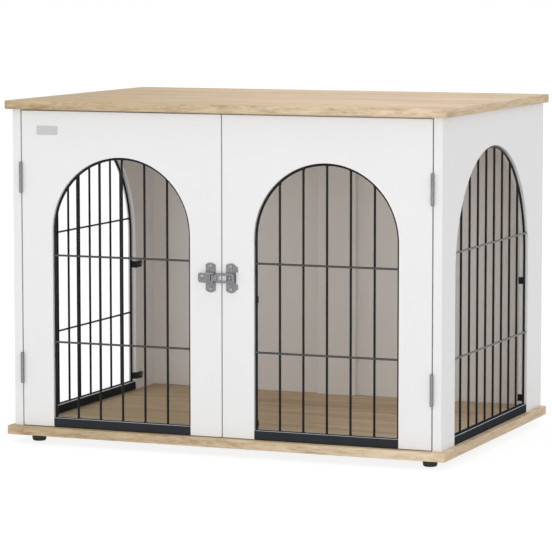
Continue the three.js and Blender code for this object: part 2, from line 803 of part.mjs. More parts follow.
// The lever is a folded sheet: a face with a rounded thumb end and a flange along each side.
function latchLever() {
  const half = leverHeight / 2;
  const face = new THREE.Shape();
  face.moveTo(-leverEnd, -half);
  face.lineTo(-leverEnd, half);
  face.lineTo(-leverTip + 4, half);
  face.quadraticCurveTo(-leverTip + 0.8, half - 1, -leverTip, half - 6);
  face.lineTo(-leverTip, -half + 6);
  face.quadraticCurveTo(-leverTip + 0.8, 1 - half, -leverTip + 4, -half);
  const sheet = solid(standing(face, [-leverFace, leverSheet - leverFace], 0, 4));
  const flange = new THREE.Shape();
  flange.moveTo(-leverFlangeStart, -leverFace);
  flange.lineTo(-leverFork, -leverFace);
  flange.lineTo(-leverFork + 1.3, -leverFace + 1.2);
  flange.absarc(-leverPivot, -leverPivotStand, earRadius, 1.75 * Math.PI, 2.6 * Math.PI);
  flange.lineTo(-leverFlangeStart + 3, -leverPivotStand - 0.4);
  const flanges = [-1, 1].map((end) => {
    const span = [end * half, end * flangeInner].sort((a, b) => a - b);
    return solid(raised(flange, span));
  });
  const prongs = [-1, 1].map((end) => {
    const span = [end * half, end * (tailHalf + seat)].sort((a, b) => a - b);
    return block([-leverEnd - 1, -leverFork], [-leverFace, leverSheet - leverFace], span);
  });
  const dome = new THREE.SphereGeometry(thumbDome, 10, 6);
  dome.scale(1, 0.45, 1);
  dome.translate(-leverTip + 7, -leverFace, 0);
  const bore = latchPinRadius + latchPinClearance;
  const pivots = [
    [-leverPivot, -leverPivotStand],
    [-loopPivot, -loopPivotStand],
  ].map(([x, y]) => rod([x, y, -leverHeight], [x, y, leverHeight], bore, 8));
  return cut(join(sheet, ...flanges, ...prongs, solid(dome)), ...pivots);
}

// The loop is a stamped frame with a rolled eye. Its far bar seats behind the hook.
function latchLoop() {
  const half = leverHeight / 2;
  const window = loopWindowHeight / 2;
  const windowEnd = hookPlace + hookRadius + seat;
  const frame = roundedRectangle([-loopShoulder, loopEnd], [-half, half], loopCorner);
  const opening = roundedRectangle([-loopWindowStart, windowEnd], [-window, window], 0.8);
  frame.holes.push(opening);
  const sheet = [-loopPivotStand - loopSheet / 2, -loopPivotStand + loopSheet / 2];
  const tail = block([-loopPivot, 0.5 - loopShoulder], sheet, [-tailHalf, tailHalf]);
  const axis = (reach) => [-1, 1].map((end) => [-loopPivot, -loopPivotStand, end * reach]);
  const eye = rod(...axis(tailHalf), eyeRadius, 10);
  const bore = rod(...axis(leverHeight), latchPinRadius + latchPinClearance, 8);
  return cut(join(solid(standing(frame, sheet, 0, 2)), tail, eye), bore);
}

function catchPlate() {
  const x0 = catchPlateInner;
  const x1 = catchPlateInner + latchPlateWidth;
  const hookHalf = hookHeight / 2;
  const ears = [-1, 1].map((end) => {
    const inner = end * (loopWindowHeight / 2 + 6);
    const outer = inner + end * catchEarHeight;
    const span = [inner, outer].sort((a, b) => a - b);
    return block([x1 - 2, x1 + catchEarWidth], [-plateStand - catchEarThickness, -plateStand], span);
  });
  const roll = [-1, 1].map((end) => [hookPlace, -hookStand, end * hookHalf]);
  const stemSpan = [hookPlace - hookStem, hookPlace];
  const stem = block(stemSpan, [-hookStand, -plateFace + 0.2], [-hookHalf, hookHalf]);
  const body = join(lobedPlate(x0, x1), ...ears, rod(...roll, hookRadius, 12), stem);
  return cut(body, ...screwHoles(plateMiddle(catchPlateInner)));
}

const latchPin = (x, stand) => {
  const half = leverHeight / 2 + seat;
  return rod([-x, -stand, -half], [-x, -stand, half], latchPinRadius, 8);
};

const latch = group(
  [
    piece("latch_base", latchBase(), zinc),
    piece("latch_lever", latchLever(), zinc),
    piece("latch_loop", latchLoop(), zinc),
    piece("latch_catch", catchPlate(), zinc),
    piece("latch_lever_pin", latchPin(leverPivot, leverPivotStand), zinc),
    piece("latch_loop_pin", latchPin(loopPivot, loopPivotStand), zinc),
    ...latchScrews("latch_base", -plateMiddle(basePlateInner)),
    ...latchScrews("latch_catch", plateMiddle(catchPlateInner)),
  ],
  [0, frontFace, baseTop + latchHeight],
);

// ---------------------------------------------------------------- the whole table
const table = new THREE.Group();
table.add(topPanel(), basePanel(), back(), latch);
table.add(...footPlaces.map(foot));
for (const [name, sign] of [
  ["left", -1],
  ["right", 1],
]) {
  table.add(side(name, sign), door(name, sign));
  hingeHeights.forEach((height, i) => {
    table.add(hinge(`${name}_${i ? "upper" : "lower"}_hinge`, sign, height));
  });
}

export default table;
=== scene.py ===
"""Dog crate end table, in metres, in the frame's own axes: doors and latch face -Y, +Z is up."""

import math

import bpy
from mathutils import Matrix, Vector


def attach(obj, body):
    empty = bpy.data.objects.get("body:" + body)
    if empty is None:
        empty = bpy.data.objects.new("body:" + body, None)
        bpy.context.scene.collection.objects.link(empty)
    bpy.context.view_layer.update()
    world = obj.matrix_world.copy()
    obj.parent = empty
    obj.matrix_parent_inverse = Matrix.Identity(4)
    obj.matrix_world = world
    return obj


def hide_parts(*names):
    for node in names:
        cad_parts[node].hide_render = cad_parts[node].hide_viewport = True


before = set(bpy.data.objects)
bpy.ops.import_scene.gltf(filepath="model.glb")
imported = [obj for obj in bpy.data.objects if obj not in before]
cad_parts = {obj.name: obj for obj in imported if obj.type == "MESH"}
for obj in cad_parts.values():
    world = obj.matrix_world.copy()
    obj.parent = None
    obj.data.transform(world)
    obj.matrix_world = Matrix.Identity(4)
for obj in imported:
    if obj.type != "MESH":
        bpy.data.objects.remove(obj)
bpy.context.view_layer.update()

MM = 0.001
HANDS = (("left", -1), ("right", 1))  # each side's name, and the sign of its X

# ---------------------------------------------------------------- sizes, in millimetres
SLAB_X, SLAB_Y = 400.0, 282.5  # half the top and the base
TOP_Z = (578.0, 593.0)
BASE_Z = (15.0, 30.0)
FRONT = -270.5  # outer face of the doors
SIDE_FACE = 390.0  # outer face of the side panels
BOARD = 15.0
ARRIS = 0.7  # softened edge of the boards
DOOR_MIDDLE = 186.85
DOOR_HALF = 185.75
DOOR_BOTTOM, DOOR_TOP = 31.5, 575.5
DOOR_RADIUS = 128.65
DOOR_SPRING = 370.35
SIDE_FRONT, SIDE_REAR = -270.5, 277.2
SIDE_BOTTOM, SIDE_TOP = 30.3, 577.7
SIDE_MIDDLE = -3.4  # middle of a side arch, front to back
SIDE_RADIUS = 199.6
SIDE_SPRING = 318.1  # height at which the arch's legs end and its round begins
BACK_Y = (277.5, 280.5)
POST_HALF, POST_Y = 37.5, (265.2, 277.2)
DOOR_BARS, SIDE_BARS = 5, 8
DOOR_CROSS = (0.3163, 0.6358)  # heights of the crosswires, as shares of the bay
SIDE_CROSS = (0.2967, 0.6589)
WIRE, CROSS_WIRE = 2.0, 1.85  # radii
WIRE_DEPTH = 6.0  # middle of the wires behind the outer face
WIRE_CLEARANCE = 0.5
WELD_SINK, WELD_INSET = 0.4, 0.6  # of a crosswire into the bars, and of its end welds
RAIL_HEIGHT, RAIL_DEPTH = 15.3, 14.0
RAIL_RECESS = 0.5
HIGHLIGHT_TOP_WIDTH = 2.8  # width of the painted highlight strip at the back of a rail's top
TAB_Z = (56.0, 265.64)  # middles of the fixing tabs
TAB_HEIGHT, TAB_THICK, TAB_REACH = 12.0, 1.5, 27.0
TAB_SCREW = 19.0  # from the arch's edge
HINGE_X, HINGE_Y = 373.8, -274.0
HINGE_Z = (131.5, 461.0)
HINGE_LENGTH = 51.6
KNUCKLE, KNUCKLE_BORE = 2.9, 1.75  # radii
HINGE_STAND = 3.5  # from the axis to the doors
LEAF_WIDTH = 13.0
LEAF_FACES = (0.15, 1.05)  # from the middle of the gap between door and side
LEAF_SCREWS = 34.0  # between the screws of a leaf
LATCH_Z = 302.0
BADGE_X, BADGE_Z = -324.2, 542.5
CAM_FACE, CAM_Z = 375.3, 544.0  # the locks' visible faces, and their height
CAM_Y = {"front": -236.5, "back": 243.2}
BACK_SCREW_X = {"left": -382.5, "middle": 0.0, "right": 382.5}
BACK_SCREW_Z = {"lower": 88.0, "upper": 520.0}
FOOT_X, FOOT_Y = 360.0, 238.5
SEAM = 0.3  # between pieces that meet

ROOM_LIGHT = 0.84
FLOOR_GREY, FLOOR_LIFT = 0.18, 0.87  # the floor's own colour, and the glow that whitens it
FLOOR_BOUNCE = 0.86  # its colour for the rays that light the room
CAMERA_PLACE = (1.9759, -4.8863, 0.8420)  # in metres
CAMERA_TURN = (83.884, 0.03, 22.125)  # in degrees
CAMERA_LENS = 195.95


# ---------------------------------------------------------------- ways of working
def clear_selection():
    if bpy.context.object and bpy.context.object.mode != "OBJECT":
        bpy.ops.object.mode_set(mode="OBJECT")
    bpy.ops.object.select_all(action="DESELECT")


def take(piece):
    """Selects one object alone and makes it active."""
    clear_selection()
    piece.select_set(True)
    bpy.context.view_layer.objects.active = piece
    return piece


def open_up(piece):
    """Opens a piece in edit mode with all of it selected."""
    take(piece)
    bpy.ops.object.mode_set(mode="EDIT")
    bpy.ops.mesh.select_all(action="SELECT")


def pick(piece, kind, wanted):
    """Opens a piece in edit mode with only the wanted edges or faces selected."""
    take(piece)
    bpy.ops.object.mode_set(mode="EDIT")
    bpy.ops.mesh.select_all(action="DESELECT")
    bpy.ops.object.mode_set(mode="OBJECT")
    for element in piece.data.edges if kind == "EDGE" else piece.data.polygons:
        element.select = wanted(element)
    bpy.ops.object.mode_set(mode="EDIT")
    bpy.ops.mesh.select_mode(type=kind)


def close(piece):
    """Leaves edit mode."""
    bpy.ops.object.mode_set(mode="OBJECT")
    return piece


def close_tidied(piece):
    """Merges what lies in one place, turns the faces outwards and leaves edit mode."""
    bpy.ops.mesh.select_all(action="SELECT")
    bpy.ops.mesh.remove_doubles(threshold=1e-6)
    bpy.ops.mesh.normals_make_consistent(inside=False)
    return close(piece)


def edge_ends(piece, edge):
    """The two ends of an edge, in millimetres."""
    return [piece.data.vertices[i].co / MM for i in edge.vertices]


def at(x, y, z):
    return Vector((x, y, z)) * MM


def block(name, x, y, z):
    """A block between pairs of places in millimetres."""
    clear_selection()
    middle = [(a + b) / 2 * MM for a, b in (x, y, z)]
    bpy.ops.mesh.primitive_cube_add(size=1, location=middle)
    made = bpy.context.object
    made.name = name
    made.scale = [(b - a) * MM for a, b in (x, y, z)]
    return settle(made)


def rod(name, start, end, radius, sides, taper=None):
    """A round bar between two points in millimetres. taper is the radius at its end."""
    clear_selection()
    a, b = at(*start), at(*end)
    along = b - a
    options = dict(vertices=sides, depth=along.length, location=(a + b) / 2)
    if taper is None:
        bpy.ops.mesh.primitive_cylinder_add(radius=radius * MM, **options)
    else:
        bpy.ops.mesh.primitive_cone_add(radius1=radius * MM, radius2=taper * MM, **options)
    made = bpy.context.object
    made.name = name
    made.rotation_mode = "QUATERNION"
    made.rotation_quaternion = Vector((0, 0, 1)).rotation_difference(along)
    return settle(made)


def settle(piece):
    """Puts an object's place, turn and size into its mesh."""
    take(piece)
    bpy.ops.object.transform_apply(location=True, rotation=True, scale=True)
    return piece


def apply(piece, kind, **settings):
    """Adds a modifier to a piece and applies it."""
    take(piece)
    added = piece.modifiers.new(kind.title(), kind)
    for key, value in settings.items():
        setattr(added, key, value)
    bpy.ops.object.modifier_apply(modifier=added.name)
    return piece


def combine(piece, operation, *tools):
    for tool in tools:
        apply(piece, "BOOLEAN", object=tool, operation=operation, solver="EXACT")
        bpy.data.objects.remove(tool)
    return piece


def cut(piece, *tools):
    return combine(piece, "DIFFERENCE", *tools)


def fuse(piece, *tools):
    return combine(piece, "UNION", *tools)


def gather(name, pieces):
    """Joins pieces into one object without cutting them."""
    clear_selection()
    for piece in pieces:
        piece.select_set(True)
    bpy.context.view_layer.objects.active = pieces[0]
    if len(pieces) > 1:
        bpy.ops.object.join()
    made = bpy.context.object
    made.name = name
    return made


def bevel(piece, width, segments, angle):
    """Rounds the edges of a piece that are sharper than an angle in degrees."""
    return apply(
        piece,
        "BEVEL",
        width=width * MM,
        segments=segments,
        limit_method="ANGLE",
        angle_limit=math.radians(angle),
    )


def smooth(piece, angle):
    take(piece)
    bpy.ops.object.shade_smooth_by_angle(angle=math.radians(angle))
    return piece


def carried(piece, matrix):
    """Moves a piece's mesh by a matrix, and turns it right way out if the matrix mirrors it."""
    piece.data.transform(matrix)
    if matrix.determinant() < 0:
        piece.data.flip_normals()
    return piece


def twin(piece, matrix):
    """A copy of a piece, with a mesh of its own, moved by a matrix."""
    made = piece.copy()
    made.data = piece.data.copy()
    bpy.context.scene.collection.objects.link(made)
    return carried(made, matrix)


def discard(*pieces):
    for piece in pieces:
        bpy.data.objects.remove(piece)


def shift(x, y, z):
    return Matrix.Translation(at(x, y, z))


def facing(direction):
    """A turn that brings +Z to a direction."""
    return Vector((0, 0, 1)).rotation_difference(Vector(direction)).to_matrix().to_4x4()


def arc(x, y, radius, start, end, steps):
    """Points along a circle, from one angle in degrees to another."""
    angles = [math.radians(start + (end - start) * i / steps) for i in range(steps + 1)]
    return [(x + radius * math.cos(a), y + radius * math.sin(a)) for a in angles]


def plate(name, corners, thickness):
    """A flat plate: corners are (x, y, z) in millimetres, round the edge of its middle plane."""
    clear_selection()
    bpy.ops.mesh.primitive_circle_add(vertices=len(corners), radius=1, fill_type="NGON")
    made = settle(bpy.context.object)
    made.name = name
    for vertex, corner in zip(made.data.vertices, corners):
        vertex.co = at(*corner)
    apply(made, "SOLIDIFY", thickness=thickness * MM, offset=0)
    open_up(made)
    bpy.ops.mesh.normals_make_consistent(inside=False)
    return close(made)


def turned(name, profile, sides):
    """A lathe piece about Z: profile is (radius, z) in millimetres, from axis to axis."""
    clear_selection()
    bpy.ops.mesh.primitive_circle_add(vertices=3, radius=1)
    made = bpy.context.object
    made.name = name
    open_up(made)
    bpy.ops.mesh.delete(type="VERT")
    close(made)
    made.data.vertices.add(len(profile))
    for corner, (radius, z) in zip(made.data.vertices, profile):
        corner.co = at(radius, 0, z)
    made.data.edges.add(len(profile) - 1)
    for i, edge in enumerate(made.data.edges):
        edge.vertices = (i, i + 1)
    open_up(made)
    bpy.ops.mesh.spin(
        steps=sides, angle=math.tau, center=(0, 0, 0), axis=(0, 0, 1), use_auto_merge=False
    )
    return close_tidied(made)


def coated(piece, *finishes):
    """Adds finishes to a piece, whose first one lies all over it."""
    for finish in finishes:
        piece.data.materials.append(finish)
    return piece


def placed(piece, name, body, finish, *nodes):
    """Names a finished piece, gives it its body and slot, and hides the nodes it stands for.
    A piece that is coated already keeps its own finishes."""
    apply(piece, "WEIGHTED_NORMAL", keep_sharp=True)
    piece.name = name
    piece.data.name = name
    if not piece.data.materials:
        coated(piece, finish)
    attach(piece, body)
    if nodes:
        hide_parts(*nodes)


# ---------------------------------------------------------------- finishes
class Value:
    """A socket that can be used in sums."""

    def __init__(self, sheet, socket):
        self.sheet = sheet
        self.socket = socket

    def maths(self, operation, other):
        return self.sheet.node("ShaderNodeMath", {"operation": operation}, {0: self, 1: other})

    def __add__(self, other):
        return self.maths("ADD", other)

    def __mul__(self, other):
        return self.maths("MULTIPLY", other)

    def __sub__(self, other):
        return self.maths("SUBTRACT", other)

    def __rsub__(self, other):
        return self.sheet.node("ShaderNodeMath", {"operation": "SUBTRACT"}, {0: other, 1: self})

    def at_least(self, other):
        return self.maths("MAXIMUM", other)

    def at_most(self, other):
        return self.maths("MINIMUM", other)

    __radd__ = __add__
    __rmul__ = __mul__


class Sheet:
    """One node tree."""

    def __init__(self, tree):
        self.tree = tree

    def node(self, kind, settings, sockets, output=0):
        """Adds a node: first its settings, then the values or links of its sockets."""
        made = self.tree.nodes.new(kind)
        for key, value in settings.items():
            if key == "stops":
                ramp = made.color_ramp
                while len(ramp.elements) < len(value):
                    ramp.elements.new(0.5)
                for stop, (place, colour) in zip(ramp.elements, value):
                    stop.position = place
                    stop.color = colour if len(colour) == 4 else (*colour, 1)
            else:
                setattr(made, key, value)
        for key, value in sockets.items():
            if isinstance(value, Value):
                self.tree.links.new(value.socket, made.inputs[key])
            else:
                made.inputs[key].default_value = value
        return Value(self, made.outputs[output])

    def places(self, scale=(1, 1, 1), shift_by=(0, 0, 0)):
        """Object coordinates, stretched and shifted."""
        coordinates = self.node("ShaderNodeTexCoord", {}, {}, "Object")
        return self.node("ShaderNodeMapping", {}, {0: coordinates, 1: shift_by, 3: scale})

    def place_along(self, axis):
        """How far a point lies along one axis, in metres."""
        return self.node("ShaderNodeSeparateXYZ", {}, {0: self.places()}, axis)

    def noise(self, where, scale, detail, roughness, distortion=0.0):
        return self.node(
            "ShaderNodeTexNoise",
            {},
            {
                "Vector": where,
                "Scale": scale,
                "Detail": detail,
                "Roughness": roughness,
                "Distortion": distortion,
            },
            "Fac",
        )

    def ramp(self, value, stops):
        """A colour ramp: each stop is a place and a colour, or a number for a grey."""
        grey = [(p, (c, c, c) if isinstance(c, (int, float)) else c) for p, c in stops]
        return self.node("ShaderNodeValToRGB", {"stops": grey}, {0: value})

    def mix(self, factor, first, second, blend="MIX"):
        return self.node(
            "ShaderNodeMix",
            {"data_type": "RGBA", "blend_type": blend},
            {0: factor, 6: first, 7: second},
            2,
        )

    def bump(self, height, strength, distance):
        return self.node(
            "ShaderNodeBump", {}, {"Strength": strength, "Distance": distance, "Height": height},
            "Normal",
        )


class Finish(Sheet):
    """A material: uniform values go on its shader's own sockets, and feed links the others."""

    def __init__(self, name, slot, **uniform):
        self.material = bpy.data.materials.new(name)
        self.material.use_nodes = True
        super().__init__(self.material.node_tree)
        self.shader = self.tree.nodes["Principled BSDF"]
        for key, value in uniform.items():
            self.shader.inputs[key.replace("_", " ")].default_value = value

    def feed(self, name, value):
        self.tree.links.new(value.socket, self.shader.inputs[name])


GRAIN_MIDDLE = 0.505
OAK_TONES = (  # how far each tone lies from the middle of the grain, and its colour
    (-0.095, (190, 165, 135)),
    (-0.025, (213, 191, 161)),
    (0.025, (222, 200, 171)),
    (0.095, (232, 213, 186)),
)
FIBRE_STRETCH, PORE_STRETCH = 0.05, 0.022  # the grain's scale along the boards
OAK_PORE = (156, 132, 102)
OAK_GREY_END = (0.755, 0.737, 0.665, 1.0)  # multiplies the tones at the left end


def tint(red, green, blue):
    """A colour as seen on screen, 0 to 255, as the light it stands for."""
    return tuple(
        c / 12.92 if c <= 0.04045 else ((c + 0.055) / 1.055) ** 2.4
        for c in (red / 255, green / 255, blue / 255)
    ) + (1.0,)


def oak_finish(name, along, seed, spread=1.0, length=1.0):
    """Printed oak decor: fibres and pores along one axis, broad bands across it, and a slow
    change from a greyer oak at the left end to a warmer one at the right. A smaller spread
    gives a stronger grain, and a smaller length shorter fibres."""
    sheet = Finish(name, "oak_laminate", IOR=1.45, Specular_IOR_Level=0.04)

    def stretched(share, by):
        scale = [1.0, 1.0, 1.0]
        scale["xyz".index(along)] = share
        return sheet.places(scale=scale, shift_by=by)

    where = stretched(FIBRE_STRETCH / length, (seed, seed * 2, seed * 3))
    fibre = sheet.noise(where, 430.0, 5.0, 0.68)
    streaks = sheet.noise(where, 135.0, 4.0, 0.6, 0.3)
    bands = sheet.noise(where, 30.0, 3.0, 0.5, 0.8)
    pores = sheet.noise(stretched(PORE_STRETCH, (seed * 5, seed, seed)), 1050.0, 2.0, 0.5)
    pore = sheet.ramp(pores, [(0.57, 0.0), (0.68, 1.0)])
    tone = sheet.ramp(
        streaks * 0.35 + fibre * 0.35 + bands * 0.3,
        [(GRAIN_MIDDLE + step * spread, tint(*colour)) for step, colour in OAK_TONES],
    )
    # darker and greyer towards the left end and the front, warmer towards the right and the back
    across_board = sheet.place_along("X") + sheet.place_along("Y") * 0.6
    grey_end = (0.1 - across_board + (bands - 0.5) * 0.35) * 2.0
    drift = grey_end.at_least(0.0).at_most(1.0)
    end_darkened = sheet.mix(drift, tone, OAK_GREY_END, "MULTIPLY")
    coloured = sheet.mix(pore * 0.3, end_darkened, tint(*OAK_PORE))
    sheet.feed("Base Color", coloured)
    sheet.feed("Roughness", fibre * 0.2 + 0.48)
    height = streaks * 0.4 + fibre * 0.6 - pore * 0.6
    sheet.feed("Normal", sheet.bump(height, 0.25, 0.0002))
    return sheet.material


def white_finish(name, colour, pebbling):
    """White melamine board: a faint pebbled press texture and hardly any colour change."""
    sheet = Finish(name, "white_laminate", IOR=1.47)
    where = sheet.places()
    pebble = sheet.noise(where, 900.0, 3.0, 0.55)
    cloud = sheet.noise(where, 9.0, 3.0, 0.5)
    fleck = sheet.noise(where, 240.0, 2.0, 0.5)
    base = tint(*colour)
    shade = tint(*(c - 5 for c in colour))
    sheet.feed("Base Color", sheet.mix(cloud * 0.5 + fleck * 0.3, base, shade))
    sheet.feed("Roughness", pebble * 0.14 + 0.36)
    sheet.feed("Normal", sheet.bump(pebble, pebbling, 0.0001))
    return sheet.material


def wire_finish(name, dark, light, gloss):
    """Powder coat: fine orange peel over a satin tone, a little lighter in clouds."""
    sheet = Finish(name, "black_wire", IOR=1.5, Specular_IOR_Level=gloss)
    where = sheet.places()
    peel = sheet.noise(where, 1400.0, 3.0, 0.6)
    cloud = sheet.noise(where, 30.0, 3.0, 0.5)
    sheet.feed("Base Color", sheet.mix(cloud, tint(*dark), tint(*light)))
    sheet.feed("Roughness", peel * 0.16 + 0.2)
    sheet.feed("Normal", sheet.bump(peel, 0.3, 0.0001))
    return sheet.material


def zinc_finish(name, light, dark, roughness, spread=0.5):
    """Plated steel: rolled streaks, cloudy crystal tone and small pits. A smaller spread
    gives a stronger mottle."""
    sheet = Finish(name, "zinc_steel", IOR=2.0, Metallic=0.85)
    where = sheet.places()
    rolled = sheet.noise(sheet.places(scale=(1, 1, 0.06)), 900.0, 3.0, 0.6)
    cloud = sheet.noise(where, 260.0, 4.0, 0.6)
    pits = sheet.noise(where, 2600.0, 2.0, 0.5)
    mottle = sheet.ramp(cloud * 0.7 + rolled * 0.3, [(0.5 - spread, 0.0), (0.5 + spread, 1.0)])
    tone = sheet.mix(mottle, tint(*light), tint(*dark))
    sheet.feed("Base Color", tone)
    sheet.feed("Roughness", cloud * 0.2 + rolled * 0.1 + roughness - 0.1)
    sheet.feed("Normal", sheet.bump(rolled * 0.5 + pits * 0.5, 0.2, 0.00008))
    return sheet.material


def foot_finish():
    """Moulded black plastic with a fine spark-eroded texture."""
    sheet = Finish("black_moulded_plastic", "black_plastic", IOR=1.46)
    where = sheet.places()
    spark = sheet.noise(where, 1700.0, 3.0, 0.6)
    cloud = sheet.noise(where, 70.0, 2.0, 0.5)
    sheet.feed("Base Color", sheet.mix(cloud, tint(22, 22, 23), tint(36, 36, 37)))
    sheet.feed("Roughness", spark * 0.25 + 0.42)
    sheet.feed("Normal", sheet.bump(spark, 0.4, 0.0001))
    return sheet.material


OAK_ALONG = oak_finish("oak_decor_lengthways", "x", 0.13)
OAK_CROSS = oak_finish("oak_end_band", "y", 0.71, 1.2, 0.6)
OAK_EDGE = oak_finish("oak_edge_band", "x", 0.37, 0.8, 0.3)
WHITE = white_finish("white_melamine", (238, 238, 238), 0.15)
BACK_WHITE = white_finish("white_back_board", (234, 231, 229), 0.075)
WIRE_BLACK = wire_finish("black_powder_coat", (19, 20, 22), (30, 31, 33), 0.14)
CROSS_BLACK = wire_finish("black_cross_wire_coat", (22, 23, 25), (33, 34, 36), 1.0)
RAIL_BLACK = wire_finish("black_rail_coat", (48, 51, 55), (56, 59, 63), 0.0)
# painted highlight: a pale grey that stands in for the lamp's gloss on the rails' top arrises
RAIL_HIGHLIGHT_GREY = wire_finish("rail_arris_painted_highlight", (172, 174, 177), (190, 192, 194), 0.5)
STEEL = zinc_finish("plated_steel", (150, 150, 152), (106, 106, 109), 0.34, 0.18)
HINGE_STEEL = zinc_finish("hinge_steel", (150, 151, 153), (122, 123, 125), 0.4)
BADGE_STEEL = zinc_finish("brushed_badge", (206, 205, 203), (190, 189, 187), 0.36)
# painted highlight: a bright steel for the latch's faces and arrises that turn up and outwards
HIGHLIGHT_STEEL = zinc_finish("steel_edge_painted_highlight", (226, 227, 229), (196, 197, 200), 0.3)
# painted glint: the latch screws get a paler steel than the plates, for the highlight on their
# heads
SCREW_GLINT_STEEL = zinc_finish("screw_steel_painted_glint", (182, 183, 185), (140, 141, 144), 0.3)
FOOT_BLACK = foot_finish()


# ---------------------------------------------------------------- boards
def arched_board(across, z, radius, spring):
    """A board lying in X and Z with its outer face at Y 0 and an arch open at the foot."""
    board = block("board", across, (0, BOARD), z)
    leg = block("leg", (-radius, radius), (-5, BOARD + 5), (z[0] - 40, spring))
    crown = rod("crown", (0, -5, spring), (0, BOARD + 5, spring), radius, 96)
    return smooth(bevel(cut(board, fuse(leg, crown)), ARRIS, 3, 50), 35)


def door_frame(sign):
    """From a bay's own axes to its door."""
    return shift(sign * DOOR_MIDDLE, FRONT, 0)


def side_frame(sign):
    """From a bay's own axes to its side panel: Y inwards from the outer face."""
    turn = Matrix.Rotation(sign * math.pi / 2, 4, "Z")
    return shift(sign * SIDE_FACE, SIDE_MIDDLE, 0) @ turn


def door_board(sign):
    across, height = (-DOOR_HALF, DOOR_HALF), (DOOR_BOTTOM, DOOR_TOP)
    return carried(arched_board(across, height, DOOR_RADIUS, DOOR_SPRING), door_frame(sign))


def side_board(sign):
    across = sorted(sign * (y - SIDE_MIDDLE) for y in (SIDE_FRONT, SIDE_REAR))
    board = arched_board(across, (SIDE_BOTTOM, SIDE_TOP), SIDE_RADIUS, SIDE_SPRING)
    return carried(board, side_frame(sign))


# ---------------------------------------------------------------- grilles
def frame_wire(radius, foot, spring):
    """The bent wire round an arch: a disc swept up one leg, round and down the other."""
    clear_selection()
    bpy.ops.mesh.primitive_circle_add(
        vertices=16, radius=WIRE * MM, location=at(-radius, WIRE_DEPTH, foot), fill_type="NGON"
    )
    wire = settle(bpy.context.object)
    open_up(wire)
    bpy.ops.mesh.extrude_region_move(
        TRANSFORM_OT_translate={"value": at(0, 0, spring - foot)}
    )
    bpy.ops.mesh.spin(
        steps=56, angle=-math.pi, center=at(0, WIRE_DEPTH, spring), axis=(0, 1, 0)
    )
    bpy.ops.mesh.extrude_region_move(
        TRANSFORM_OT_translate={"value": at(0, 0, foot - spring)}
    )
    return close_tidied(wire)


def weld_bead(x, y, z, radius):
    """A small flattened bead where two wires meet."""
    clear_selection()
    bpy.ops.mesh.primitive_uv_sphere_add(
        segments=12, ring_count=8, radius=radius * MM, location=at(x, y, z)
    )
    bead = bpy.context.object
    bead.scale = (1.25, 0.8, 1.0)
    return settle(bead)


def cross_slot(arm, half_width, depth):
    """The tool for a cross recess about Z."""
    return fuse(
        block("slot", (-arm, arm), (-half_width, half_width), depth),
        block("slot", (-half_width, half_width), (-arm, arm), depth),
    )


def screw_head(radius, height):
    """A pan head with a cross recess, its underside at z 0, facing +Z."""
    head = turned(
        "head",
        [
            (0, 0),
            (radius * 0.94, 0),
            (radius, height * 0.14),
            (radius * 0.98, height * 0.42),
            (radius * 0.84, height * 0.76),
            (radius * 0.55, height * 0.94),
            (0, height),
        ],
        28,
    )
    cut(head, cross_slot(radius * 0.58, radius * 0.15, (height * 0.55, height + 1)))
    return smooth(head, 30)


def tab(side, edge, z):
    """A fixing tab: one leg on the arch's edge, the other flat on the board's inner face."""
    inner = BOARD + SEAM
    half = TAB_HEIGHT / 2
    heel = edge - SEAM - TAB_THICK
    points = [(heel, z - half)]
    points += arc(edge + TAB_REACH - half, z, half, -90, 90, 12) + [(heel, z + half)]
    middle = inner + TAB_THICK / 2
    flat = plate("tab", [(side * x, middle, height) for x, height in points], TAB_THICK)
    leg_x = sorted((side * heel, side * (heel + TAB_THICK)))
    leg = block("leg", leg_x, (WIRE_DEPTH, inner + TAB_THICK), (z - half, z + half))
    return smooth(bevel(fuse(flat, leg), 0.35, 2, 40), 40)


def tab_screw(side, edge, z):
    head = screw_head(3.0, 1.8)
    x = side * (edge + TAB_SCREW)
    return carried(head, shift(x, BOARD + SEAM + TAB_THICK, z) @ facing((0, 1, 0)))


def reach_at(radius, spring, z):
    """Half the width of an arch at a height."""
    return radius if z <= spring else math.sqrt(max(0.0, radius**2 - (z - spring) ** 2))


def foot_rail(half, bottom, top):
    """The square tube at a grille's foot, with a painted highlight on its top arrises and along
    the back of its top.
    """
    rail = block("rail", (-half, half), (RAIL_RECESS, RAIL_RECESS + RAIL_DEPTH), (bottom, top))
    bevel(rail, 1.3, 4, 40)
    highlight_from = RAIL_DEPTH - HIGHLIGHT_TOP_WIDTH
    open_up(rail)
    bpy.ops.mesh.bisect(plane_co=at(0, highlight_from, 0), plane_no=(0, 1, 0))
    coated(close(rail), WIRE_BLACK, RAIL_BLACK, RAIL_HIGHLIGHT_GREY)
    # painted highlight on the top arrises and on the back strip of the top
    for face in rail.data.polygons:
        up, out = face.normal.z, abs(face.normal.y)
        inner = face.center.y > highlight_from * MM
        face.material_index = 2 if up > 0.3 and (out > 0.3 or inner) else 1
    return rail


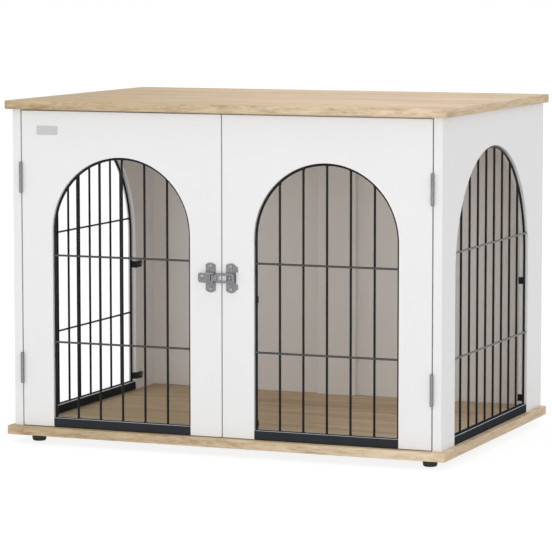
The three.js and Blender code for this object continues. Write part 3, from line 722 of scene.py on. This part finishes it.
def grille(radius, spring, floor, bars, cross_shares):
    """A grille in its bay's own axes: wires, welds, foot rail and tabs, and its screws apart."""
    wire_radius = radius - WIRE_CLEARANCE - WIRE
    rail_top = floor + RAIL_HEIGHT
    foot = rail_top - RAIL_HEIGHT / 2
    parts = [coated(frame_wire(wire_radius, foot, spring), WIRE_BLACK)]
    parts.insert(0, foot_rail(radius - WIRE_CLEARANCE, floor, rail_top))  # its finishes lead
    spacing = 2 * wire_radius / (bars + 1)
    places = [-wire_radius + spacing * i for i in range(1, bars + 1)]
    cross_depth = WIRE_DEPTH - WIRE - CROSS_WIRE + WELD_SINK
    for x in places:
        top = spring + math.sqrt(wire_radius**2 - x**2)
        bar = rod("bar", (x, WIRE_DEPTH, foot), (x, WIRE_DEPTH, top), WIRE, 16)
        crown_weld = weld_bead(x, WIRE_DEPTH, top - WIRE * 0.8, WIRE * 1.25)
        rail_weld = weld_bead(x, WIRE_DEPTH, rail_top, WIRE * 1.3)
        parts += [coated(part, WIRE_BLACK) for part in (bar, crown_weld, rail_weld)]
    for share in cross_shares:
        z = BASE_Z[1] + share * (spring - BASE_Z[1] + radius)
        reach = reach_at(wire_radius, spring, z)
        cross = rod("cross", (-reach, cross_depth, z), (reach, cross_depth, z), CROSS_WIRE, 16)
        parts.append(coated(cross, CROSS_BLACK))
        middle = (WIRE_DEPTH - WIRE + cross_depth + CROSS_WIRE) / 2
        for x in (WELD_INSET - reach, *places, reach - WELD_INSET):
            parts.append(coated(weld_bead(x, middle, z, CROSS_WIRE * 0.9), WIRE_BLACK))
    screws = []
    for z in TAB_Z:
        edge = reach_at(radius, spring, z + TAB_HEIGHT / 2)
        for side in (-1, 1):
            parts.append(coated(tab(side, edge, z), WIRE_BLACK))
            screws.append(tab_screw(side, edge, z))
    return smooth(gather("wires", parts), 40), gather("screws", screws)


def set_in(name, body, matrix, board, wires, screws):
    """Places a board, and the grille and tab screws of its arch."""
    placed(board, name + "_board", body, WHITE, name + "_panel")
    placed(twin(wires, matrix), name + "_wires", body, WIRE_BLACK, name + "_grille")
    placed(twin(screws, matrix), name + "_tab_screws", body, STEEL)


def doors():
    wires, screws = grille(DOOR_RADIUS, DOOR_SPRING, DOOR_BOTTOM, DOOR_BARS, DOOR_CROSS)
    for side, sign in HANDS:
        name = side + "_door"
        set_in(name, name, door_frame(sign), door_board(sign), wires, screws)
    discard(wires, screws)


def sides():
    wires, screws = grille(SIDE_RADIUS, SIDE_SPRING, SIDE_BOTTOM, SIDE_BARS, SIDE_CROSS)
    for side, sign in HANDS:
        name = side + "_side"
        set_in(name, "cabinet", side_frame(sign), side_board(sign), wires, screws)
    discard(wires, screws)


# ---------------------------------------------------------------- top and base
def slab(name, node, z):
    """A decor board with a softly rounded rim; its edges carry a band of their own."""
    board = block(name, (-SLAB_X, SLAB_X), (-SLAB_Y, SLAB_Y), z)

    def stands(edge):
        low, high = edge_ends(board, edge)
        return abs(low.z - high.z) > 0.1

    pick(board, "EDGE", stands)
    bpy.ops.mesh.bevel(offset=2.5 * MM, segments=5)
    smooth(bevel(close(board), ARRIS, 3, 50), 35)
    placed(board, name, "cabinet", OAK_ALONG, node)
    coated(board, OAK_CROSS, OAK_EDGE)
    for face in board.data.polygons:
        if abs(face.normal.x) > 0.7:
            face.material_index = 1
        elif abs(face.normal.y) > 0.7:
            face.material_index = 2


# ---------------------------------------------------------------- hinges
def hinges():
    """Butt hinges: rolled knuckles, a pin with domed tips and two thin leaves in the gap."""
    half = HINGE_LENGTH / 2
    sixth = HINGE_LENGTH / 6
    gap = SEAM / 2
    leaf_screw = turned(
        "screw", [(0, -10), (0.5, -9), (1.2, -7.5), (1.2, -0.9), (2.7, 0), (0, 0)], 28
    )
    smooth(cut(leaf_screw, cross_slot(1.6, 0.35, (-0.7, 1))), 30)
    for side, sign in HANDS:
        for level, z in zip(("lower", "upper"), HINGE_Z):
            title = f"{side}_{level}_hinge"
            place = shift(sign * HINGE_X, HINGE_Y, z)
            for part, away, spans, body in (
                ("cabinet_leaf", sign, ((-half, -sixth - gap), (sixth + gap, half)), "cabinet"),
                ("door_leaf", -sign, ((gap - sixth, sixth - gap),), side + "_door"),
            ):
                sheet = sorted(away * face for face in LEAF_FACES)
                leaf = block("leaf", sheet, (HINGE_STAND, HINGE_STAND + LEAF_WIDTH), (-half, half))
                bevel(leaf, 0.2, 1, 40)
                pieces = [leaf]
                for end in (-1, 1):
                    spot = (HINGE_STAND + LEAF_WIDTH / 2, end * LEAF_SCREWS / 2)
                    mouth = rod("mouth", (away * 0.1, *spot), (away * 1.1, *spot), 2.9, 32, 1.6)
                    cut(leaf, mouth)
                    turn = facing((-away, 0, 0))
                    pieces.append(twin(leaf_screw, shift(away * 0.25, *spot) @ turn))
                for low, high in spans:
                    barrel = rod("barrel", (0, 0, low), (0, 0, high), KNUCKLE, 48)
                    bore = rod("bore", (0, 0, low - 1), (0, 0, high + 1), KNUCKLE_BORE, 24)
                    neck = block("neck", sheet, (KNUCKLE - 1.3, HINGE_STAND + 0.7), (low, high))
                    seam = block("seam", sorted((0, -away * 0.35)), (1, 4), (low - 1, high + 1))
                    knuckle = cut(fuse(barrel, neck), bore, seam)
                    pieces.append(bevel(knuckle, 0.12, 2, 50))
                made = carried(smooth(gather("leaf", pieces), 40), place)
                placed(made, f"{title}_{part}_plate", body, HINGE_STEEL, f"{title}_{part}")
            tip = half + SEAM
            pin = turned(
                "pin",
                [
                    (0, -tip - 1.0),
                    (1.2, -tip - 0.92),
                    (1.9, -tip - 0.7),
                    (2.25, -tip - 0.35),
                    (2.3, -tip),
                    (1.5, -tip),
                    (1.5, tip),
                    (2.3, tip),
                    (2.25, tip + 0.35),
                    (1.9, tip + 0.7),
                    (1.2, tip + 0.92),
                    (0, tip + 1.0),
                ],
                28,
            )
            carried(smooth(pin, 40), place)
            placed(pin, title + "_rod", "cabinet", HINGE_STEEL, title + "_pin")
    discard(leaf_screw)


# ---------------------------------------------------------------- latch
# The latch's own axes: X from the doors' meeting line, Y inwards from their outer face, so what
# stands off the doors has a negative Y, and Z from the latch's middle.
BASE_MIDDLE, CATCH_MIDDLE = -20.0, 17.0
SCREW_SPACING = 38.6
LEVER_PIVOT = (-11.3, -4.0)
LOOP_PIVOT = (-14.9, -6.4)
LEVER_HALF = 8.5
HOOK = (17.2, -7.0)


def upright(points, z, thickness):
    """A sheet seen edge-on from the front: points are (x, y), z is its middle plane."""
    return plate("sheet", [(x, y, z) for x, y in points], thickness)


def facing_plate(points, y, thickness):
    """A sheet that faces the front: points are (x, z), y is its middle plane."""
    return plate("sheet", [(x, y, z) for x, z in points], thickness)


def lobed_plate(middle):
    """A plate with two rounded ends and a countersunk hole in each."""
    half, bulge, reach = 25.25, 4.0, 9.0
    radius = (reach**2 + bulge**2) / (2 * bulge)
    lean = math.degrees(math.asin((radius - bulge) / radius))
    top = arc(middle, half - radius, radius, lean, 180 - lean, 14)
    bottom = arc(middle, radius - half, radius, 180 + lean, 360 - lean, 14)
    made = facing_plate(top + bottom, -0.9, 1.2)
    for end in (-1, 1):
        z = end * SCREW_SPACING / 2
        cut(made, rod("hole", (middle, -4, z), (middle, 2, z), 1.8, 24))
    return bevel(made, 0.35, 3, 50)


def bored(piece, pivot):
    """Drills a piece of the latch for the pin of a pivot."""
    x, y = pivot
    return cut(piece, rod("bore", (x, y, -12), (x, y, 12), 1.5, 24))


def latch_base():
    made = lobed_plate(BASE_MIDDLE)
    x, y = LEVER_PIVOT
    ear = [(x - 5, -1.3)] + arc(x, y, 2.2, 198, 396, 14) + [(-11.4, -1.3)]
    for z in (-6.6, 6.6):
        fuse(made, bevel(upright(ear, z, 1.0), 0.2, 2, 50))
    return painted_highlights(smooth(bored(made, LEVER_PIVOT), 35))


def pressed_dome(x, y, z, radius, height):
    """A dome pressed out of a sheet that faces the front; height is its share of the radius."""
    clear_selection()
    bpy.ops.mesh.primitive_uv_sphere_add(
        segments=32, ring_count=16, radius=radius * MM, location=at(x, y, z)
    )
    dome = bpy.context.object
    dome.scale = (1, height, 1)
    return settle(dome)


def ring_groove(x, y, z, radius, width):
    """The tool for a round groove in a sheet that faces the front."""
    clear_selection()
    bpy.ops.mesh.primitive_torus_add(
        major_segments=40,
        minor_segments=10,
        major_radius=radius * MM,
        minor_radius=width * MM,
        location=at(x, y, z),
        rotation=(math.pi / 2, 0, 0),
    )
    return settle(bpy.context.object)


def painted_highlights(piece):
    """Paints a highlight in a brighter steel on the faces and arrises that turn up and outwards.
    """
    coated(piece, STEEL, HIGHLIGHT_STEEL)
    for face in piece.data.polygons:
        normal = face.normal
        face.material_index = int(normal.z > 0.25 and normal.y < -0.2 and abs(normal.x) < 0.8)
    return piece


def latch_lever():
    """A folded sheet: its face ends in a rounded thumb tab with a pressed dome, and at the other
    end it is forked, so that the loop's tail can pass when the lever opens."""
    half = LEVER_HALF
    tip, prong, fork, outside = -39.8, -11.9, 6.0, -9.4
    face = [(prong, -half), (prong, -fork), (-17.2, -fork), (-17.2, fork), (prong, fork)]
    face += [(prong, half)] + arc(tip + 4.5, half - 4.5, 4.5, 90, 180, 8)
    face += arc(tip + 4.5, 4.5 - half, 4.5, 180, 270, 8)
    made = facing_plate(face, outside + 0.5, 1.0)
    x, y = LEVER_PIVOT
    flange = [(-29, outside), (prong, outside), (-10.6, -8.2)]
    flange += arc(x, y, 2.2, 315, 468, 14) + [(-26, -4.4)]
    for z in (0.5 - half, half - 0.5):
        fuse(made, upright(flange, z, 1.0))

    def folded(edge):
        ends = edge_ends(made, edge)
        return all(abs(c.y - outside) < 0.02 and abs(abs(c.z) - half) < 0.02 for c in ends)

    pick(made, "EDGE", folded)
    bpy.ops.mesh.bevel(offset=0.85 * MM, segments=5)
    bevel(close(made), 0.2, 2, 50)
    cut(made, ring_groove(tip + 6.6, outside - 0.1, 0.2, 4.5, 0.6))
    fuse(made, pressed_dome(tip + 6.6, outside + 0.2, 0.2, 3.6, 0.4))
    smooth(bored(bored(made, LEVER_PIVOT), LOOP_PIVOT), 35)
    return painted_highlights(made)


def rounded_frame(x0, x1, half, corner):
    """The outline of a plate with round corners: points are (x, z)."""
    return (
        arc(x1 - corner, half - corner, corner, 0, 90, 6)
        + arc(x0 + corner, half - corner, corner, 90, 180, 6)
        + arc(x0 + corner, corner - half, corner, 180, 270, 6)
        + arc(x1 - corner, corner - half, corner, 270, 360, 6)
    )


def latch_loop():
    """A stamped frame with a rolled eye; its far bar seats behind the hook."""
    x, y = LOOP_PIVOT
    made = facing_plate(rounded_frame(-8.5, 25.8, LEVER_HALF, 2.0), y, 1.4)
    cut(made, facing_plate(rounded_frame(-6.5, 20.2, 4.0, 0.8), y, 6))
    fuse(made, block("tail", (x, -8.0), (y - 0.7, y + 0.7), (-5.7, 5.7)))
    fuse(made, rod("eye", (x, y, -5.7), (x, y, 5.7), 2.3, 40))
    return painted_highlights(smooth(bevel(bored(made, LOOP_PIVOT), 0.45, 3, 50), 35))


def latch_catch():
    """The plate on the right door, with thin stiffening ears and a hook rolled from its sheet."""
    made = lobed_plate(CATCH_MIDDLE)
    for end in (-1, 1):
        z = sorted((end * 10.0, end * 19.5))
        ear = block("ear", (24.0, 29.7), (-1.0, -0.3), z)
        fuse(made, bevel(ear, 0.25, 2, 50))
    x, y = HOOK
    roll = [(x - 7.3, -1.3)] + arc(x, y, 2.7, 215, 415, 24)
    roll += arc(x, y, 1.6, 415, 215, 20) + [(x - 5.95, -1.3)]
    fuse(made, bevel(upright(roll, 0, 6.4), 0.3, 2, 50))
    return painted_highlights(smooth(made, 35))


def latch_screw(x, z):
    """A pan head screw through a plate of the latch."""
    head = screw_head(3.1, 1.9)
    shank = rod("shank", (0, 0, 0.1), (0, 0, -11.8), 1.4, 20, 0.5)
    made = gather("screw", [head, shank])
    return carried(made, shift(x, -1.6, z) @ facing((0, -1, 0)))


def latch_rod(pivot):
    x, y = pivot
    made = rod("rod", (x, y, -8.8), (x, y, 8.8), 1.2, 28)
    return smooth(bevel(made, 0.35, 3, 50), 35)


def latch():
    place = shift(0, FRONT, LATCH_Z)
    for name, make, body in (
        ("latch_base", latch_base, "left_door"),
        ("latch_lever", latch_lever, "latch_lever"),
        ("latch_loop", latch_loop, "latch_loop"),
        ("latch_catch", latch_catch, "right_door"),
    ):
        placed(carried(make(), place), name + "_metal", body, STEEL, name)
    for name, pivot, body in (
        ("latch_lever_pin", LEVER_PIVOT, "left_door"),
        ("latch_loop_pin", LOOP_PIVOT, "latch_lever"),
    ):
        placed(carried(latch_rod(pivot), place), name + "_rod", body, STEEL, name)
    for name, x, body in (
        ("latch_base_screw", BASE_MIDDLE, "left_door"),
        ("latch_catch_screw", CATCH_MIDDLE, "right_door"),
    ):
        for level, end in (("lower", -1), ("upper", 1)):
            made = carried(latch_screw(x, end * SCREW_SPACING / 2), place)
            node = f"{name}_{level}"
            # the paler steel paints the glint on the screw heads
            placed(made, node + "_head", body, SCREW_GLINT_STEEL, node)


def badge():
    """A blank metal plate with soft corners: a thin raised rim round a brushed field."""
    outline = rounded_frame(-19.5, 19.5, 7.4, 1.2)
    corners = [(BADGE_X + x, FRONT - 0.35, BADGE_Z + z) for x, z in outline]
    made = plate("badge", corners, 0.6)
    pick(made, "FACE", lambda face: face.normal.y < -0.9)
    bpy.ops.mesh.inset(thickness=0.9 * MM, depth=0)
    bpy.ops.mesh.inset(thickness=0.3 * MM, depth=-0.3 * MM)
    bevel(close(made), 0.12, 2, 50)
    placed(smooth(made, 35), "blank_badge", "left_door", BADGE_STEEL)


# ---------------------------------------------------------------- back
def back():
    """The thin back board and the post behind its middle, each with softened arrises."""
    height = (SIDE_BOTTOM, SIDE_TOP)
    board = block("board", (-SIDE_FACE, SIDE_FACE), BACK_Y, height)
    smooth(bevel(board, 0.5, 3, 50), 35)
    placed(board, "back_board", "cabinet", BACK_WHITE, "back_panel")
    post = block("post", (-POST_HALF, POST_HALF), POST_Y, height)
    smooth(bevel(post, 1.0, 4, 50), 35)
    placed(post, "back_upright", "cabinet", BACK_WHITE, "back_post")


# ---------------------------------------------------------------- hidden fastenings
def fastenings():
    """Cam locks in the sides and screws through the back. The bolts and screws inside the
    boards keep their nodes' shapes."""
    disc = turned(
        "disc",
        [
            (0, -12),
            (7.2, -12),
            (7.5, -11.7),
            (7.5, -0.5),
            (7.1, 0),
            (5.9, 0),
            (5.6, -0.5),
            (0, -0.5),
        ],
        40,
    )
    mark = block("mark", (4.4, 5.5), (-0.5, 0.5), (-0.9, 0))
    throat = rod("throat", (0, -3.84, -7.2), (0, 20, -7.2), 3.8, 24)
    smooth(cut(disc, cross_slot(4.2, 0.8, (-3, 1)), mark, throat), 35)
    for side, sign in HANDS:
        turn = Matrix(((0, 0, -sign, 0), (-sign, 0, 0, 0), (0, 1, 0, 0), (0, 0, 0, 1)))
        for end, y in CAM_Y.items():
            node = f"cam_lock_{side}_{end}"
            made = twin(disc, shift(sign * CAM_FACE, y, CAM_Z) @ turn)
            placed(made, node + "_disc", "cabinet", STEEL, node)
    discard(disc)

    head = screw_head(3.4, 1.6)
    for side, x in BACK_SCREW_X.items():
        length = 14 if side == "middle" else 20  # the post is thinner than the sides are deep
        for level, z in BACK_SCREW_Z.items():
            shank = rod("shank", (0, 0, 0.1), (0, 0, 0.2 - length), 1.6, 20, 0.6)
            made = gather("screw", [twin(head, Matrix()), shank])
            carried(made, shift(x, BACK_Y[1] + SEAM, z) @ facing((0, 1, 0)))
            node = f"back_screw_{side}_{level}"
            placed(made, node + "_head", "cabinet", STEEL, node)
    discard(head)
    for name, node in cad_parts.items():
        if name.startswith(("cam_bolt", "base_screw")):
            node.data.materials.clear()
            coated(node, STEEL)


# ---------------------------------------------------------------- feet
def feet():
    """Round glides with a moulded flare, a recess for the screw and a soft rim."""
    foot = turned(
        "foot",
        [
            (2.4, 14.7),
            (2.4, 7.0),
            (5.4, 7.0),
            (5.4, 0.5),
            (5.7, 0.0),
            (9.3, 0.0),
            (10.3, 0.2),
            (11.2, 0.9),
            (11.9, 2.2),
            (12.3, 4.0),
            (12.4, 6.0),
            (12.4, 14.2),
            (12.0, 14.7),
            (2.4, 14.7),
        ],
        48,
    )
    smooth(foot, 40)
    head = screw_head(4.2, 2.4)
    carried(head, shift(0, 0, 6.7) @ facing((0, 0, -1)))
    shank = rod("shank", (0, 0, 6.6), (0, 0, 24.6), 1.9, 20, 0.6)
    screw = gather("screw", [head, shank])
    for side, sign in HANDS:
        for end, y in (("front", -FOOT_Y), ("back", FOOT_Y)):
            corner, place = f"{side}_{end}", shift(sign * FOOT_X, y, 0)
            glide = twin(foot, place)
            placed(glide, "glide_" + corner, "cabinet", FOOT_BLACK, "foot_" + corner)
            fixing = twin(screw, place)
            placed(fixing, "glide_screw_" + corner, "cabinet", STEEL, "foot_screw_" + corner)
    discard(foot, screw)


# ---------------------------------------------------------------- studio
def seen_directly(sheet):
    """1 for rays from the camera, a gloss or a clear body, and 0 for the rays that light."""
    path = [
        sheet.node("ShaderNodeLightPath", {}, {}, f"Is {kind} Ray")
        for kind in ("Camera", "Glossy", "Transmission")
    ]
    return path[0].at_least(path[1]).at_least(path[2])


def choose(sheet, lights, seen, output):
    """Joins two shaders: one for the rays that light the room, one for those that are seen."""
    choice = sheet.node("ShaderNodeMixShader", {}, {0: seen_directly(sheet), 1: lights, 2: seen})
    sheet.tree.links.new(choice.socket, sheet.tree.nodes[output].inputs["Surface"])


def studio():
    """A pale floor that looks white where nothing shades it, and an even white room."""
    clear_selection()
    bpy.ops.mesh.primitive_plane_add(size=60, location=(0, 0, -0.0002))
    floor = bpy.context.object
    floor.name = "studio_floor"
    sheet = Finish(
        "pale_floor",
        None,
        Roughness=0.9,
        Specular_IOR_Level=0.0,
        Base_Color=(FLOOR_GREY, FLOOR_GREY, FLOOR_GREY, 1),
        Emission_Color=(1, 1, 1, 1),
        Emission_Strength=FLOOR_LIFT,
    )
    bounce = (FLOOR_BOUNCE, FLOOR_BOUNCE, FLOOR_BOUNCE, 1)
    plain = sheet.node("ShaderNodeBsdfDiffuse", {}, {"Color": bounce})
    choose(sheet, plain, Value(sheet, sheet.shader.outputs[0]), "Material Output")
    coated(floor, sheet.material)

    world = bpy.data.worlds.new("studio")
    bpy.context.scene.world = world
    world.use_nodes = True
    room = Sheet(world.node_tree)
    lights = room.tree.nodes["Background"]
    lights.inputs["Color"].default_value = (1, 1, 1, 1)
    lights.inputs["Strength"].default_value = ROOM_LIGHT
    white = room.node("ShaderNodeBackground", {}, {"Color": (1, 1, 1, 1), "Strength": 1.0})
    choose(room, Value(room, lights.outputs[0]), white, "World Output")


def lamp(name, place, target, size, power):
    """A soft rectangular lamp, in metres and watts, turned to its target."""
    data = bpy.data.lights.new(name, "AREA")
    data.shape = "RECTANGLE"
    data.size, data.size_y = size
    data.energy = power
    made = bpy.data.objects.new(name, data)
    bpy.context.scene.collection.objects.link(made)
    made.location = place
    made.rotation_euler = (Vector(target) - Vector(place)).to_track_quat("-Z", "Y").to_euler()


def camera():
    """Stands where the photograph's camera stood."""
    data = bpy.data.cameras.new("camera")
    data.lens = CAMERA_LENS
    data.sensor_width = 36
    data.clip_start = 0.05
    data.clip_end = 100
    made = bpy.data.objects.new("camera", data)
    bpy.context.scene.collection.objects.link(made)
    made.location = CAMERA_PLACE
    made.rotation_euler = [math.radians(turn) for turn in CAMERA_TURN]
    bpy.context.scene.camera = made


camera()
slab("top_board", "top_panel", TOP_Z)
slab("base_board", "base_panel", BASE_Z)
sides()
doors()
hinges()
latch()
badge()
fastenings()
back()
feet()
studio()
lamp("front_light", (0.6, -5.0, 0.5), (0, 0, 0.3), (3.0, 0.8), 38)
lamp("top_light", (0.4, -0.8, 3.6), (0, 0, 0.5), (0.6, 0.6), 16)
bpy.context.scene.view_settings.view_transform = "Standard"
